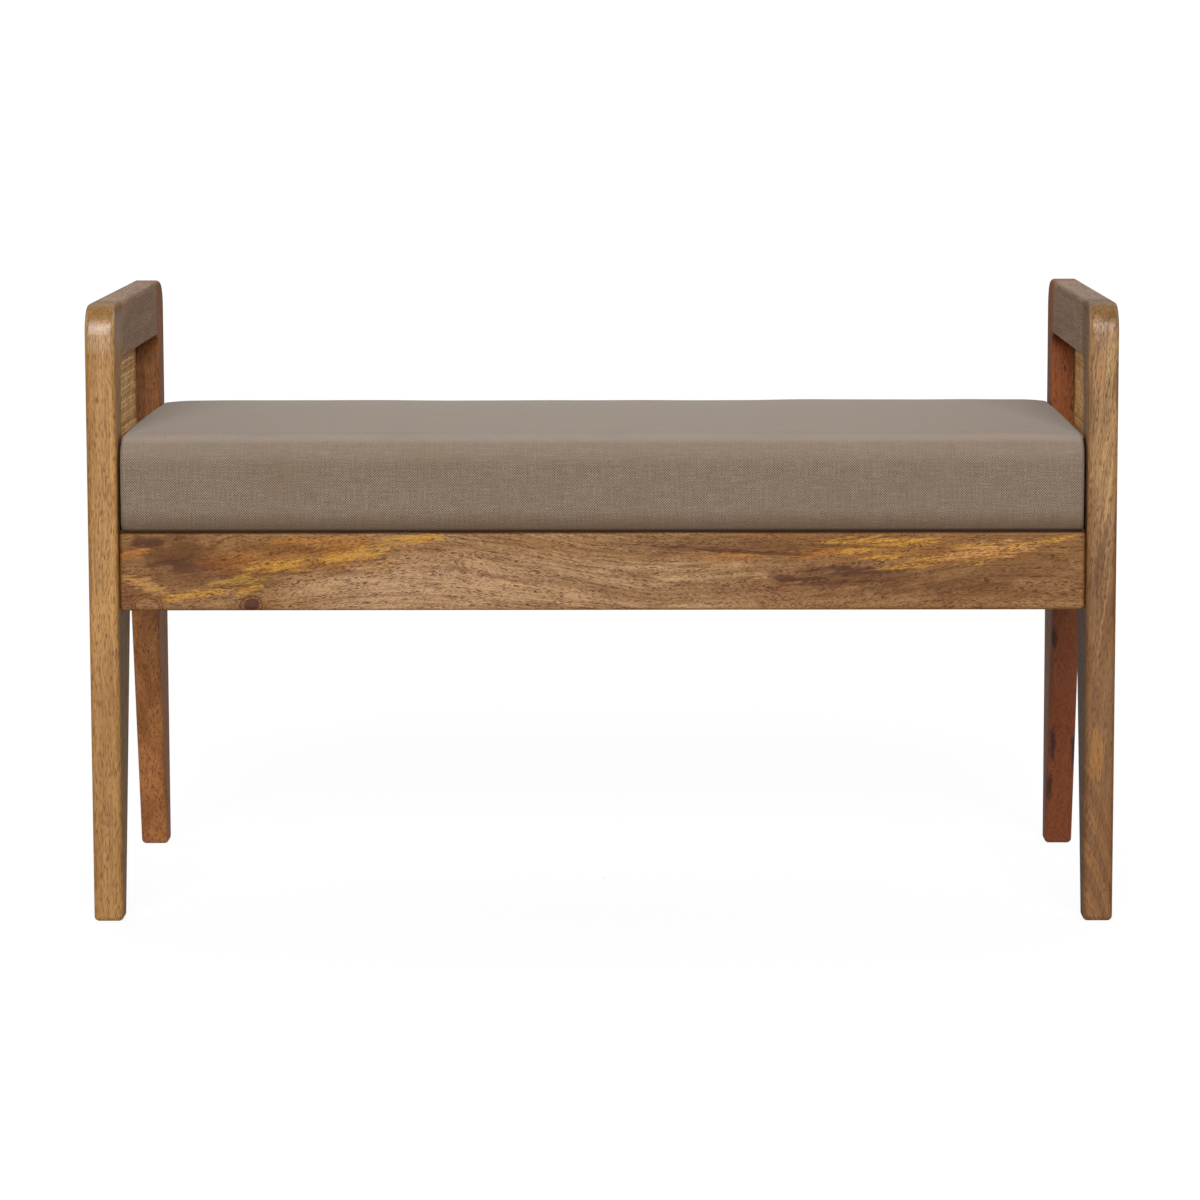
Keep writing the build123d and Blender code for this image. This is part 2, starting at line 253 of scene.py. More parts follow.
def studio_sweep():
    """A half profile of floor, quarter bend and wall, turned round the upright axis."""
    bend = np.linspace(0, math.pi / 2, 17)
    reach = floor_radius + sweep_radius * np.sin(bend)
    reach = np.concatenate([[0.001, 1.0, 3.0, 6.0], reach, reach[-1:]])
    height = np.concatenate([np.zeros(4), sweep_radius * (1 - np.cos(bend)), [wall_height]])
    turn = np.linspace(0, 2 * math.pi, 97)[:-1, None]
    points = np.stack([reach * np.cos(turn), reach * np.sin(turn), height + 0 * turn], axis=-1)
    return grid_mesh("studio_floor", points, close_rows=True)


studio_white = Finish("studio_white")
white_clouds = studio_white.lumps(1, 1, 1, detail=1.0)
studio_white.shade(
    Base_Color=studio_white.blend(white_clouds, (0.12, 0.12, 0.12, 1.0), (0.13, 0.13, 0.13, 1.0)),
    Roughness=0.9,
    Specular_IOR_Level=0.0,
    Emission_Color=(1.0, 1.0, 1.0, 1.0),
    Emission_Strength=0.91,
)
studio_floor = studio_sweep()
studio_floor.data.materials.append(studio_white.material)
studio_floor.visible_diffuse = False
studio_floor.visible_glossy = False
studio_floor.visible_shadow = False


def soft_light(name, azimuth, elevation, spread, share):
    """A sun lamp as wide as a soft box, from an azimuth counted from the front."""
    lamp = bpy.data.lights.new(name, "SUN")
    lamp.energy = math.pi * share
    lamp.angle = math.radians(spread)
    light = bpy.data.objects.new(name, lamp)
    light.rotation_euler = (math.radians(90 - elevation), 0, math.radians(azimuth))
    bpy.context.scene.collection.objects.link(light)


soft_light("front_light", 0, 22, 36, 1.15)
soft_light("rear_light", 180, 44, 56, 0.21)
soft_light("left_light", -112, 28, 56, 0.25)
soft_light("right_light", 112, 28, 56, 0.25)

world = bpy.data.worlds.new("studio")
bpy.context.scene.world = world
world.use_nodes = True
backdrop = Nodes(world.node_tree)
_, far, upward = backdrop.split(backdrop.node("ShaderNodeTexCoord", output="Generated"))
glow = floor_glow - backdrop.rise(upward, -0.30, 0.20) * (floor_glow - room_glow)
dark_wing = backdrop.rise(far, 0.72, 0.90) * (1 - backdrop.rise(upward, -0.04, 0.06))
world_light = backdrop.tree.nodes["Background"].inputs
world_light["Color"].default_value = (1, 1, 1, 1)
backdrop.feed(world_light["Strength"], glow * (1 - dark_wing * 0.45))
bpy.context.scene.view_settings.view_transform = "Standard"


# Side frames. Legs, arm rails and side rails of a light brown, streaked hardwood, dowelled
# together, sanded to soft edges and finished with a satin clear coat.
frame_thickness = 0.029
leg_middle = bench_high.x - frame_thickness / 2
rail_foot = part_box("front_seat_rail")[0].z
rear_leg_front = bench_high.y - 0.105  # where the tapered part meets the side rail
inner_slope = 0.077 / rail_foot  # depth that the rear leg loses for its height down to the floor
post_setback = 0.052  # from the rear leg's widest place to the front of its post
ring_spacing = 0.0050
ripple_length = 0.0058
leg_pores = (0.0010, 0.0085)  # width and length


def hardwood(
    name, grain, shift, pale, deep, pore, pith, cone=0.0, lean=0.0, wave=None,
    ripple=0.0, figure=None, gloss=0.42, pores=leg_pores, shine=0.36, coat=0.0,
):
    """Streaked hardwood, with its grain along X, Y or Z of the frame.

    Rings are noise along the distance from a pith line, plus a cone that turns them into
    arches. Fibres, bands and pores are noise drawn out along the grain, which leans, swings
    by a cosine of given height, length and crest, and wanders by noise. Ripple bends the
    pores to and fro. Figure paints more on the colour before the pores. The coat is what
    hands have polished at the front corners of the arms."""
    finish = Finish(name)
    x, y, z = finish.place()
    across, through, along = {"x": (z, y, x), "y": (z, x, y), "z": (x, y, z)}[grain]
    straight = across
    across = across + along * lean
    if wave:
        swing, length, crest = wave
        across = across - (along - crest).wave(length, "COSINE") * swing

    def stretched(wide, long, detail=2.0, bend=None, offset=0.0):
        level = across if bend is None else across + bend
        places = level / wide + (shift + offset), through / wide, along / long + 3.1 * shift
        return finish.noise(*places, detail=detail)

    across = across + (stretched(0.045, 0.16) - 0.5) * 0.020
    wander = stretched(0.10, 0.35) - 0.5
    from_pith = ((across - pith[0]) ** 2 + (through - pith[1]) ** 2) ** 0.5
    ring = from_pith + along * cone + wander * 0.022
    rings = finish.node(
        "ShaderNodeTexNoise",
        {"noise_dimensions": "1D"},
        {"W": ring / ring_spacing + shift, "Scale": 1.0, "Detail": 3.0, "Roughness": 0.6},
    )
    band = stretched(0.016, 0.30, offset=7.0)
    fibre = stretched(0.0019, 0.042, detail=3.0, offset=11.0)
    cloud = stretched(0.034, 0.09, detail=3.0, offset=17.0)

    colour = finish.blend(finish.rise(rings * 0.5 + band * 0.5, 0.34, 0.64), pale, deep)
    tint = tuple(0.66 * share for share in deep[:3]) + (1.0,)
    colour = finish.blend(finish.rise(fibre, 0.42, 0.72) * 0.66, colour, tint)
    glow = tuple(min(1.0, 1.22 * share) for share in pale[:3]) + (1.0,)
    colour = finish.blend(finish.rise(cloud, 0.50, 0.74) * 0.6, colour, glow)
    if figure:
        colour = figure(finish, colour, straight, along, stretched)

    bend = None
    if ripple:
        turns = along / ripple_length + stretched(0.02, 0.02, offset=23.0) * 3.0
        rippled = finish.rise(stretched(0.03, 0.06, offset=29.0), 0.35, 0.65)
        bend = turns.wave(1) * rippled * ripple
    pore_width, pore_length = pores
    speck = stretched(pore_width, pore_length, detail=1.0, bend=bend, offset=31.0)
    hair = stretched(pore_width / 2, pore_length * 0.8, detail=1.0, bend=bend, offset=37.0)
    vein = stretched(0.0024, 0.034, detail=3.0, offset=53.0)
    specks = finish.rise(speck, 0.47, 0.66)
    hairs = finish.rise(hair, 0.46, 0.66)
    colour = finish.blend(specks * finish.rise(vein, 0.30, 0.60) * 0.85, colour, pore)
    colour = finish.blend(hairs * 0.46, colour, pore)
    relief = 1.0 - specks * 0.8 - hairs * 0.3 + fibre * 0.3
    if coat:
        corner = finish.rise(along, 0.552, 0.572) * (1 - finish.rise(along, 0.594, 0.600))
        finish.shade(Coat_Weight=corner * coat, Coat_Roughness=0.40)
    finish.shade(
        Base_Color=colour,
        Roughness=gloss + specks * 0.16 + (cloud - 0.5) * 0.12,
        Specular_IOR_Level=shine,
        Normal=finish.bump(relief, 0.00012, 0.8),
    )
    return finish.material


def streak(finish, along, height, torn, line, thickness):
    """One inside a streak, which is pointed at both ends. Its line is its start along and in
    height, then its stop. Line and thickness are in millimetres.

    For a share s along it, its half width is the thickness times the root of s(1 - s), and
    noise tears that to and fro before the distance from its middle line is taken off."""
    first, low, last, high, thickness = (0.001 * number for number in (*line, thickness))
    share = (along - first) / (last - first)
    room = (share * (1 - share)).maths("MAXIMUM", 0.0) ** 0.5 * thickness
    gap = (height - share * (high - low) - low).maths("ABSOLUTE")
    room = room * (1 + (torn - 0.5) * 4.5)
    return finish.rise(room - gap, -0.05 * thickness, 0.35 * thickness)


def smudge(finish, along, height, torn, oval):
    """One in the middle of a soft oval, fading out at its ragged edge. The oval is its middle
    along and in height, then half its length and half its height, in millimetres."""
    middle, level, reach, wide = (0.001 * number for number in oval)
    far = (((along - middle) / reach) ** 2 + ((height - level) / wide) ** 2) ** 0.5
    return 1 - finish.rise(far + (torn - 0.5) * 1.8, 0.35, 1.05)


def dress(material, *names):
    """Gives CAD nodes that material."""
    for name in names:
        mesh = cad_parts[name].data
        mesh.materials.clear()
        mesh.materials.append(material)


def painted_shade_on_leg_tops(finish, colour, along):
    """Painted shade: a darker olive over the rounded top, which turns up away from the front
    light.
    """
    return finish.blend(finish.rise(along, 0.588, 0.595) * 0.45, colour, lit(136, 106, 60))


def right_front_leg_figure(finish, colour, x, along, stretched):
    """Leaning pale and brown streaks under an oval at the top, browner wood below the seat
    with a golden patch, and lines that sweep down to the outer edge under it."""
    torn = stretched(0.004, 0.05, detail=3.0, offset=41.0)
    broken = 0.55 + finish.rise(stretched(0.0012, 0.012, offset=59.0), 0.36, 0.58) * 0.45
    brown, pale = lit(112, 74, 42), lit(196, 160, 100)
    across = x - leg_middle
    below = 1 - finish.rise(along + torn * 0.10, 0.36, 0.50)
    colour = finish.blend(below * 0.74, colour, lit(118, 80, 48))
    # Painted shade on the rounded top.
    colour = painted_shade_on_leg_tops(finish, colour, along)
    oval = ((across + 0.006) ** 2 * 6 + (along - 0.583) ** 2) ** 0.5 + torn * 0.004
    colour = finish.blend((1 - finish.rise(oval, 0.014, 0.018)) * 0.40, colour, lit(174, 138, 96))
    rim = finish.rise(oval, 0.0145, 0.0165) * (1 - finish.rise(oval, 0.0165, 0.0190))
    colour = finish.blend(rim * 0.5, colour, brown)
    for *line, thickness, share, tone in (
        (574, 12.5, 520, 0, 11, 0.60, pale),
        (548, 1, 496, 7, 11, 0.55, pale),
        (572, 3, 500, -1, 2.6, 0.60, brown),
        (556, -5, 522, -3, 5, 0.60, lit(184, 120, 58)),
        (548, -12, 470, -9, 3, 0.60, brown),
        (520, -8, 440, -12.2, 2.6, 0.60, brown),
        (552, 12.2, 496, 12.6, 3.4, 0.60, brown),
        (500, 8.5, 425, -6, 5, 0.50, pale),
        (460, 10.5, 380, 0, 4, 0.45, pale),
        (400, 7, 325, -4, 13, 0.60, lit(96, 62, 36)),
        (376, -2, 300, -11, 7, 0.60, lit(96, 62, 36)),
        (420, 12.8, 330, 0, 2.6, 0.60, lit(170, 132, 84)),
        (360, 11, 285, -1, 3, 0.60, lit(170, 132, 84)),
        (302, 1, 245, -4, 3.4, 0.60, lit(170, 132, 84)),
        (305, -8.5, 222, -12.5, 7, 0.60, lit(104, 62, 36)),
    ):
        inside = streak(finish, along, across, torn, line, thickness)
        colour = finish.blend(inside * broken * share, colour, tone)
    patch = smudge(finish, along, across, torn, (168, -3, 36, 8))
    colour = finish.blend(patch * 0.55, colour, lit(178, 124, 58))
    from_inside = across + frame_thickness / 2
    sweep = along + from_inside * 1.2 + from_inside ** 2 * 48 + torn * 0.010
    foot = 1 - finish.rise(sweep, 0.150, 0.180)
    broad = finish.rise(sweep.wave(0.044), -0.6, 0.8)
    colour = finish.blend(foot * (1 - broad) * 0.32, colour, lit(164, 112, 60))
    colour = finish.blend(foot * broad * 0.35, colour, lit(118, 76, 44))
    lines = finish.rise(sweep.wave(0.0125), 0.55, 1.0)
    return finish.blend(lines * foot * 0.45, colour, lit(98, 64, 36))


def left_rear_leg_figure(finish, colour, x, along, stretched):
    """A little darker at the foot."""
    foot = 1 - finish.rise(along, 0.03, 0.10)
    return finish.blend(foot * 0.20, colour, lit(100, 60, 34))


def right_rear_leg_figure(finish, colour, x, along, stretched):
    """Red heartwood at the front face, near-black stains on it at both edges, and painted shadow
    at its top under the arm rail.
    """
    torn = stretched(0.003, 0.012, detail=3.0, offset=41.0)
    shoulder = (rail_foot - along).maths("MAXIMUM", 0.0) * inner_slope
    front_face = shoulder + rear_leg_front + finish.rise(along, 0.37, 0.40) * post_setback
    inward = finish.place()[1] - front_face + (torn - 0.5) * 0.01
    heart = 1 - finish.rise(inward, 0.006, 0.034)
    colour = finish.blend(heart * 0.8, colour, lit(124, 62, 36))
    colour = finish.blend(heart * finish.rise(along, 0.30, 0.42) * 0.75, colour, lit(196, 112, 58))
    skin = 1 - finish.rise(inward, 0.005, 0.012)
    # Painted shadow under the arm rail, at the top of the post's front face.
    painted_shadow_under_arm = finish.rise(along, 0.534, 0.549) * (1 - finish.rise(along, 0.5510, 0.5516))
    colour = finish.blend(painted_shadow_under_arm * skin * 0.7, colour, lit(74, 38, 34))
    for middle, across, reach in (113, -9, 24), (108, 13.5, 26), (64, -11.5, 18), (230, -11.5, 12):
        oval = middle, across, reach, 4.2
        stain = smudge(finish, along, x - leg_middle, torn, oval) * skin
        colour = finish.blend(stain * 0.85, colour, lit(46, 27, 24))
    return colour


def left_front_leg_figure(finish, colour, x, along, stretched):
    """A deeper tone below the seat, and painted shade on the rounded top."""
    torn = stretched(0.004, 0.05, detail=3.0, offset=41.0)
    below = 1 - finish.rise(along + torn * 0.10, 0.34, 0.50)
    return painted_shade_on_leg_tops(finish, finish.blend(below * 0.34, colour, lit(150, 108, 58)), along)


dress(hardwood(
    "left_front_leg_wood", "z", 1.3, lit(200, 153, 95), lit(169, 123, 70),
    lit(108, 70, 36), pith=(-0.62, -0.16), figure=left_front_leg_figure, coat=1.0,
), "left_front_leg")
dress(hardwood(
    "right_front_leg_wood", "z", 4.7, lit(178, 138, 92), lit(134, 96, 58),
    lit(92, 58, 34), pith=(0.43, -0.27), lean=-0.12, figure=right_front_leg_figure, coat=0.2,
), "right_front_leg")
dress(hardwood(
    "left_rear_leg_wood", "z", 2.9, lit(192, 129, 76), lit(156, 99, 55),
    lit(100, 60, 34), pith=(-leg_middle + 0.004, 0.225), cone=-0.28,
    figure=left_rear_leg_figure,
), "left_rear_leg")
dress(hardwood(
    "right_rear_leg_wood", "z", 8.1, lit(170, 116, 70), lit(140, 88, 50),
    lit(88, 50, 32), pith=(0.60, 0.30), figure=right_rear_leg_figure,
), "right_rear_leg")
dress(hardwood(
    "left_arm_wood", "y", 5.2, lit(195, 155, 118), lit(165, 127, 97),
    lit(112, 84, 64), pith=(0.66, -0.46),
), "left_arm_rail", "left_side_rail")
dress(hardwood(
    "right_arm_wood", "y", 9.4, lit(196, 158, 124), lit(164, 128, 102),
    lit(110, 84, 66), pith=(0.66, 0.46),
), "right_arm_rail", "right_side_rail")


# Beads and brads. Mitred strips of the same wood over the edge of the cane, flush with the
# frames' outer faces and held by small headless nails.
bead_tones = lit(180, 138, 94), lit(152, 110, 72), lit(108, 73, 48)
level_bead_wood = hardwood("level_bead_wood", "y", 12.5, *bead_tones, pith=(0.50, 0.40))
upright_bead_wood = hardwood("upright_bead_wood", "z", 13.6, *bead_tones, pith=(0.40, 0.40))
for side in ("left", "right"):
    dress(level_bead_wood, f"{side}_top_bead", f"{side}_bottom_bead")
    dress(upright_bead_wood, f"{side}_front_bead", f"{side}_rear_bead")


# Cane panels. Webbing of split cane, woven six ways: pairs up and across, and single
# strands on both slants between them. Its edge lies in the frame's rabbet, under the beads.
cane_pitch = 0.0133
pair_offset = 0.00140  # of each strand from the middle of its pair
strand_width = 0.0025
strand_thickness = 0.0007
pair_lift = 0.00030  # where one strand of a pair goes over another
slant_lift = 0.00055
cane_edge_room = 0.0003
bead_width = 0.009
pressed_share = 0.45  # of the waves' height that is left under the beads
cane_section = np.array([
    (-0.5, 0), (-0.28, 0.5), (0.28, 0.5), (0.5, 0), (0.28, -0.5), (-0.28, -0.5),
])


def edit(piece, change):
    """Lets a function change the mesh of a piece."""
    shell = bmesh.new()
    shell.from_mesh(piece.data)
    change(shell)
    shell.to_mesh(piece.data)
    shell.free()


def turn_outwards(shell):
    """Points the faces of a closed mesh out of it."""
    bmesh.ops.recalc_face_normals(shell, faces=shell.faces)


def strand_mesh(path, sideways):
    """A six-sided flat section carried along one strand's path, closed at both ends.

    A point is the path, plus the section's first number times the width to the side, plus
    its second times the thickness outwards."""
    to_side = np.array(sideways) * strand_width
    outwards = np.array([strand_thickness, 0, 0])
    points = path[:, None, :] + cane_section @ np.array([to_side, outwards])
    sides = grid_quads(*points.shape[:2], close_columns=True)
    last = (len(path) - 1) * len(cane_section)
    ends = [np.add(quad, start) for quad in ((0, 1, 2, 3), (0, 3, 4, 5)) for start in (0, last)]
    run = np.concatenate([[0], np.cumsum(np.linalg.norm(np.diff(path, axis=0), axis=1))])
    uv = np.stack(np.broadcast_arrays(run[:, None], cane_section[:, 0]), axis=-1)
    return points.reshape(-1, 3), np.vstack([sides, ends]), uv.reshape(-1, 2)


def strand_samples(low, high, per_pitch):
    """Even places from low to high, so many to a pitch."""
    return np.linspace(low, high, max(3, round((high - low) / cane_pitch * per_pitch)))


def woven_strands(half_depth, half_height, window_depth, window_height):
    """Every strand of a panel about its own middle, by height out of the panel, Y and Z.

    A strand of a pair waves as one sine between its two crossings, and one on a slant as a
    cosine with the pitch, up over the upright pairs and down under the others or the
    reverse. All waves are pressed flatter under the beads."""
    def pressed(lift, y, z):
        outside = np.maximum(np.abs(y) - window_depth, np.abs(z) - window_height)
        lift = lift * np.where(outside > 0, pressed_share, 1.0)
        return np.stack(np.broadcast_arrays(lift, y, z), axis=-1)

    def node_wave(t):
        nearest = (t + cane_pitch / 2) % cane_pitch - cane_pitch / 2
        fading = np.exp(-((nearest / (2.2 * pair_offset)) ** 4))
        return -np.sin(math.pi * nearest / (2 * pair_offset)) * fading

    def shifts(half, first):
        count = int((half - first) // cane_pitch)
        return first + cane_pitch * np.arange(-count - round(2 * first / cane_pitch), count + 1)

    strands = []
    for middle in shifts(half_depth - pair_offset, cane_pitch / 2):
        for member in (-1, 1):
            z = strand_samples(-half_height, half_height, 6)
            lift = -member * pair_lift * node_wave(z)
            strands.append((pressed(lift, middle + member * pair_offset, z), (0, 1, 0)))
    for middle in shifts(half_height - pair_offset, 0.0):
        for member in (-1, 1):
            y = strand_samples(-half_depth, half_depth, 6)
            lift = member * pair_lift * node_wave(y + cane_pitch / 2)
            strands.append((pressed(lift, y, middle + member * pair_offset), (0, 0, 1)))
    reach = int((half_depth + half_height) / cane_pitch)
    for slope in (-1, 1):
        for start in np.arange(-reach, reach + 1) * cane_pitch:
            low, high = max(-half_depth, start - half_height), min(half_depth, start + half_height)
            if high - low > cane_pitch / 2:
                y = strand_samples(low, high, 7)
                lift = -slope * slant_lift * np.cos(2 * math.pi * y / cane_pitch)
                sideways = (0, -slope * math.sqrt(0.5), math.sqrt(0.5))
                strands.append((pressed(lift, y, slope * (y - start)), sideways))
    return strands


cane = Finish("cane")
cane_u, cane_v = cane.split(cane.node("ShaderNodeUVMap", {"uv_map": "weave"}))[:2]
cane_fibre = cane.noise(cane_u * 90.0, cane_v * 7.0, cane.place()[2] * 30.0)
cane_tone = cane.rise(cane.lumps(60, 60, 60), 0.35, 0.68)
cane_colour = cane.blend(cane_tone, shown(230, 183, 115), shown(202, 148, 81))
cane_colour = cane.blend(cane.rise(cane_fibre, 0.50, 0.80) * 0.5, cane_colour, shown(170, 118, 66))
cane_rim = cane.rise(cane_v.maths("ABSOLUTE"), 0.30, 0.52)
cane_colour = cane.blend(cane_rim * 0.55, cane_colour, shown(150, 104, 62))
cane.shade(
    Base_Color=cane_colour,
    Roughness=0.36 + cane_fibre * 0.2,
    Normal=cane.bump(cane_fibre, 0.00008, 0.8),
)

for side, outward in (("left", -1), ("right", 1)):
    low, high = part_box(f"{side}_cane_panel")
    middle, half = (low + high) / 2, (high - low) / 2
    strands = woven_strands(
        half.y - cane_edge_room, half.z - cane_edge_room,
        half.y - bead_width, half.z - bead_width,
    )
    parts = [strand_mesh(path, sideways) for path, sideways in strands]
    starts = np.cumsum([0] + [len(points) for points, _, _ in parts[:-1]])
    points = np.vstack([points for points, _, _ in parts])
    points = np.array(middle) + points * np.array([outward, 1, 1])
    faces = np.vstack([faces + start for (_, faces, _), start in zip(parts, starts)])
    uv = np.vstack([uv for _, _, uv in parts])
    webbing = plain_mesh(f"{side}_cane_webbing", points, faces, uv)
    edit(webbing, turn_outwards)
    webbing.data.materials.append(cane.material)
    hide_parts(f"{side}_cane_panel")
    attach(webbing, "root")


# Seat box. A front and a rear rail with knots and yellow streaks, and plain end rails,
# battens and corner blocks inside, dowelled and glued.
rail_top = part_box("front_seat_rail")[1].z


def front_rail_figure(finish, colour, height, along, stretched):
    """Brown patches and yellow streaks that rise to the right, two knots low at the left, and
    painted shade along the top edge under the pad.
    """
    torn = stretched(0.0026, 0.022, detail=4.0, offset=41.0)
    lumpy = stretched(0.010, 0.018, detail=4.0, offset=47.0)
    broken = 0.6 + finish.rise(stretched(0.0016, 0.012, offset=59.0), 0.36, 0.58) * 0.4
    yellow, orange = lit(204, 150, 62), lit(190, 124, 58)
    brown, dark = lit(104, 68, 36), lit(74, 46, 28)
    frayed = along + torn * 0.06
    ends = 1 - finish.rise(frayed, -0.30, -0.20) + finish.rise(frayed, 0.10, 0.24)
    colour = finish.blend(ends * 0.52, colour, lit(130, 84, 38))
    colour = finish.blend(finish.rise(height, 0.340, 0.372) * 0.38, colour, lit(134, 92, 42))
    for *oval, share, tone in (
        (-160, 335, 200, 34, 0.30, lit(190, 152, 118)),
        (-300, 358, 120, 22, 0.60, lit(172, 120, 54)),
        (-275, 370, 85, 12, 0.65, lit(180, 118, 50)),
        (-420, 364, 62, 19, 0.85, brown),
        (-402, 353, 40, 12, 0.85, dark),
        (-442, 373, 24, 6, 0.80, dark),
        (-320, 369, 60, 9, 0.55, brown),
        (-345, 334, 42, 12, 0.60, lit(112, 80, 38)),
        (-464, 320, 14, 18, 0.75, lit(112, 66, 44)),
        (-350, 357, 60, 12, 0.40, orange),
        (-260, 345, 34, 7, 0.45, brown),
        (-400, 340, 50, 12, 0.40, brown),
        (230, 340, 100, 14, 0.60, brown),
        (340, 328, 100, 16, 0.40, brown),
        (125, 359, 45, 7, 0.40, orange),
        (300, 362, 130, 14, 0.40, orange),
        (110, 370, 130, 10, 0.45, brown),
        (420, 350, 60, 16, 0.30, brown),
        (-400, 345, 130, 40, 0.28, brown),
        (270, 345, 240, 40, 0.26, brown),
    ):
        inside = smudge(finish, along, height, lumpy, oval)
        colour = finish.blend(inside * share, colour, tone)
    for *line, thickness, share, tone in (
        (-395, 341, -205, 357, 10, 0.70, lit(136, 80, 34)),
        (-400, 352, -335, 357, 10, 0.75, lit(136, 80, 34)),
        (-362, 342, -280, 344, 6, 0.75, lit(112, 68, 32)),
        (-352, 347, -280, 353, 14, 0.90, yellow),
        (-335, 362, -232, 368, 8, 0.70, lit(120, 72, 34)),
        (-282, 356, -203, 367, 16, 0.90, yellow),
        (-216, 375, -148, 379, 12, 0.95, yellow),
        (-472, 361, -440, 367, 11, 0.80, orange),
        (-472, 341, -418, 321, 13, 0.75, lit(210, 158, 90)),
        (-436, 318, -358, 326, 11, 0.85, yellow),
        (-388, 332, -322, 340, 10, 0.70, lit(190, 146, 66)),
        (-358, 322, -330, 330, 14, 0.70, yellow),
        (-330, 373, -245, 379, 8, 0.50, orange),
        (206, 373, 326, 376, 8, 0.85, yellow),
        (110, 361, 160, 362, 7, 0.70, orange),
        (185, 359, 265, 367, 9, 0.80, orange),
        (225, 363, 335, 376, 12, 0.90, yellow),
        (248, 356, 332, 366, 6.5, 0.80, yellow),
        (318, 365, 388, 373, 6.5, 0.80, yellow),
        (266, 346, 352, 359, 10, 0.90, yellow),
        (322, 355, 428, 371, 18, 0.90, lit(212, 152, 88)),
        (348, 354, 386, 356, 8, 0.80, yellow),
        (390, 368, 469, 380, 7, 0.75, yellow),
        (290, 361, 346, 368, 6, 0.70, lit(98, 56, 32)),
        (165, 338, 222, 337, 7.5, 0.90, dark),
        (186, 345, 268, 348, 6.5, 0.85, dark),
        (210, 341, 300, 345, 6, 0.75, dark),
        (175, 331, 290, 336, 5, 0.70, dark),
        (90, 366, 215, 360, 5, 0.75, dark),
        (30, 372, 180, 362, 4.5, 0.60, dark),
        (185, 371, 310, 367, 4, 0.80, brown),
        (290, 352, 402, 357, 5, 0.60, brown),
        (260, 322, 420, 334, 6, 0.55, brown),
        (-180, 358, -60, 330, 5, 0.45, brown),
        (-120, 360, 20, 326, 6, 0.40, brown),
        (-60, 356, 80, 332, 5, 0.45, brown),
        (425, 309, 472, 332, 6, 0.50, brown),
    ):
        inside = streak(finish, along, height, torn, line, thickness)
        colour = finish.blend(inside * broken * share, colour, tone)
    for middle, level, size, heart in (
        (-0.445, 0.3115, 0.016, lit(158, 112, 72)),
        (-0.342, 0.3125, 0.013, lit(70, 38, 20)),
    ):
        far = (((along - middle) / 1.35) ** 2 + (height - level) ** 2) ** 0.5
        far = far + (lumpy - 0.5) * 0.012
        inside = 1 - finish.rise(far, 0.55 * size, 1.05 * size)
        lines = finish.rise(far.wave(0.0034), -0.8, 1.0)
        knot = finish.blend(lines, lit(148, 100, 60), lit(98, 60, 36))
        knot = finish.blend(1 - finish.rise(far, 0.25 * size, 0.55 * size), knot, heart)
        colour = finish.blend(inside * 0.85, colour, knot)
    # Painted shade along the top edge, in the gap under the pad.
    shade = finish.rise(height, rail_top - 0.0022, rail_top - 0.0008)
    return finish.blend(shade * 0.7, colour, lit(58, 40, 30))


dress(hardwood(
    "front_rail_wood", "x", 3.4, lit(193, 155, 112), lit(149, 109, 72),
    lit(84, 50, 22), pith=(0.20, -0.21), wave=(0.016, 0.62, -0.20), ripple=0.0006,
    figure=front_rail_figure, pores=(0.0009, 0.0040), gloss=0.48, shine=0.20,
), "front_seat_rail")
dress(hardwood(
    "rear_rail_wood", "x", 6.8, lit(172, 132, 94), lit(144, 104, 70),
    lit(90, 60, 40), pith=(0.22, 0.25), ripple=0.0004,
), "rear_seat_rail")
bare_wood = lit(196, 160, 116), lit(170, 130, 88), lit(120, 86, 58), (0.20, 0.20)
depth_wood = hardwood("inner_wood_along_depth", "y", 15.1, *bare_wood, gloss=0.62)
width_wood = hardwood("inner_wood_along_width", "x", 16.3, *bare_wood, gloss=0.62)
for side in ("left", "right"):
    dress(depth_wood, f"{side}_end_rail", f"{side}_seat_batten", f"{side}_frame_dowels")
    dress(width_wood, f"{side}_front_corner_block", f"{side}_rear_corner_block")
dress(depth_wood, "seat_box_dowels")


# Plywood board of the pad. Birch plies glued crosswise, under the foam; only its edges and
# underside are ever bare.
ply_thickness = 0.0013

board = Finish("plywood")
ply = board.rise(board.place()[2].wave(2 * ply_thickness), -0.3, 0.3)
ply_grain = board.lumps(260, 12, 260, detail=3.0)
ply_cross = board.lumps(12, 260, 260, detail=3.0)
ply_colour = board.blend(ply, shown(206, 172, 126), shown(176, 136, 92))
ply_dark = board.rise(ply_grain * ply + ply_cross * (1 - ply), 0.45, 0.75)
board.shade(
    Base_Color=board.blend(ply_dark * 0.5, ply_colour, shown(150, 112, 74)),
    Roughness=0.7 + ply_grain * 0.15,
    Normal=board.bump(ply_grain, 0.0001, 0.6),
)
dress(board.material, "pad_board")


# Foam of the pad. One block of polyurethane foam, cut with a crown and rounded top edges,
# glued on the board under the linen.
pad_low, pad_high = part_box("pad_cover")
foam_inset = 0.0045
pad_crown = 0.006  # by which the top rises in its middle
crown_run = 0.06  # over which the crown sinks to a fifth towards either end


